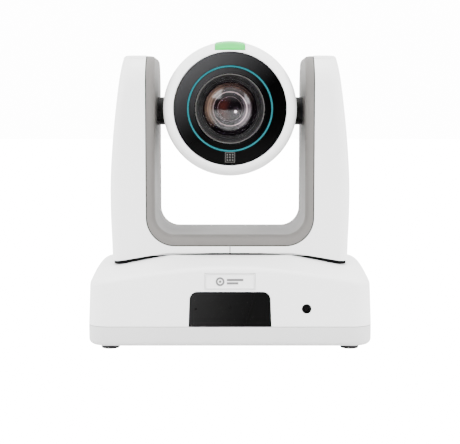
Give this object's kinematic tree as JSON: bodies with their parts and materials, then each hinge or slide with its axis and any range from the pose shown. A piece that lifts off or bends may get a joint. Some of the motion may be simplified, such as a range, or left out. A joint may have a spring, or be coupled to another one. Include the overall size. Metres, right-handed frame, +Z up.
{
  "type": "ptz camera",
  "caption": "Tabletop pan-tilt-zoom room camera: connector base, panning U-shaped yoke, and a round tilting head with zoom lens, light ring and signal lamp.",
  "frame": {"origin": "on the pan axis, at the surface that the feet stand on", "axes": "+Z up along the pan axis, -Y out of the lens at rest, +X to the right as seen from the front"},
  "size_m": [0.18, 0.145, 0.1965],
  "materials": {
    "white_shell": "satin moulded ABS, fine eggshell sheen",
    "tray_shell": "satin moulded ABS",
    "silver_liner": "warm silver paint on plastic",
    "black_gloss": "polished smoked black",
    "black_plastic": "fine matt moulding",
    "rubber": "soft matt rubber",
    "steel": "plated steel",
    "brass": "turned brass",
    "aluminium": "machined",
    "circuit_board": "solder mask over glass fibre",
    "motor_body": "black painted steel",
    "cyan_light": "translucent cyan light guide",
    "green_light": "translucent green light guide",
    "red_light": "unlit tinted lamp",
    "lens_glass": "coated optical glass"
  },
  "bodies": {
    "base": {"base_housing": "white_shell", "base_tray": "tray_shell", "foot_front_left": "rubber", "foot_front_right": "rubber", "foot_rear_left": "rubber", "foot_rear_right": "rubber", "tripod_insert": "brass", "infrared_window": "black_gloss", "name_badge": "white_shell", "infrared_receiver": "black_plastic", "status_light": "red_light", "microphone_bush": "black_plastic", "microphone_capsule": "steel", "rear_panel": "black_plastic", "power_socket": "steel", "video_socket": "steel", "data_socket": "steel", "network_socket": "steel", "serial_socket": "steel", "audio_socket": "steel", "main_board": "circuit_board", "pan_motor": "motor_body", "pan_belt": "rubber", "pan_bearing": "steel"},
    "pan_motor_rotor": {"pan_motor_pulley": "brass"},
    "yoke": {"pan_turntable": "aluminium", "pan_driven_pulley": "black_plastic", "pan_shaft_nut": "brass", "yoke_cover_left": "white_shell", "yoke_cover_right": "white_shell", "yoke_liner": "silver_liner", "yoke_frame": "steel", "tilt_motor": "motor_body", "tilt_belt": "rubber", "tilt_bearing_left": "steel", "tilt_bearing_right": "steel", "motor_driver_board": "circuit_board"},
    "tilt_motor_rotor": {"tilt_motor_pulley": "brass"},
    "head": {"head_bezel": "white_shell", "tally_lamp": "green_light", "head_shell": "white_shell", "head_rear_cover": "white_shell", "front_panel": "black_gloss", "light_ring": "cyan_light", "lens_barrel": "black_plastic", "front_lens": "lens_glass", "sensor_board": "circuit_board", "image_sensor": "black_gloss", "heat_sink": "aluminium", "zoom_motor": "steel", "focus_motor": "steel", "tilt_hub_left": "black_plastic", "tilt_hub_right": "black_plastic", "tilt_driven_pulley": "black_plastic"},
    "zoom_group": {"zoom_carriage": "aluminium", "zoom_lens": "lens_glass"},
    "focus_group": {"focus_carriage": "aluminium", "focus_lens": "lens_glass"}
  },
  "joints": [
    {"name": "pan", "type": "hinge", "parent": "base", "child": "yoke", "pos_m": [0, 0, 0.057], "axis": [0, 0, 1], "range_deg": [-170, 170]},
    {"name": "pan_motor_spin", "type": "hinge", "parent": "base", "child": "pan_motor_rotor", "pos_m": [-0.047, -0.024, 0.033], "axis": [0, 0, 1], "range_deg": [-640, 640]},
    {"name": "tilt", "type": "hinge", "parent": "yoke", "child": "head", "pos_m": [0, 0, 0.1509], "axis": [-1, 0, 0], "range_deg": [-30, 90]},
    {"name": "tilt_motor_spin", "type": "hinge", "parent": "yoke", "child": "tilt_motor_rotor", "pos_m": [0.057, 0, 0.0989], "axis": [-1, 0, 0], "range_deg": [-111, 331]},
    {"name": "zoom_slide", "type": "slide", "parent": "head", "child": "zoom_group", "axis": [0, -1, 0], "range_m": [-0.006, 0.0015]},
    {"name": "focus_slide", "type": "slide", "parent": "head", "child": "focus_group", "axis": [0, -1, 0], "range_m": [-0.0025, 0.002]}
  ],
  "couplings": [
    {"joint": "pan_motor_spin", "follows": "pan", "ratio": 3.75},
    {"joint": "tilt_motor_spin", "follows": "tilt", "ratio": 3.6667}
  ]
}
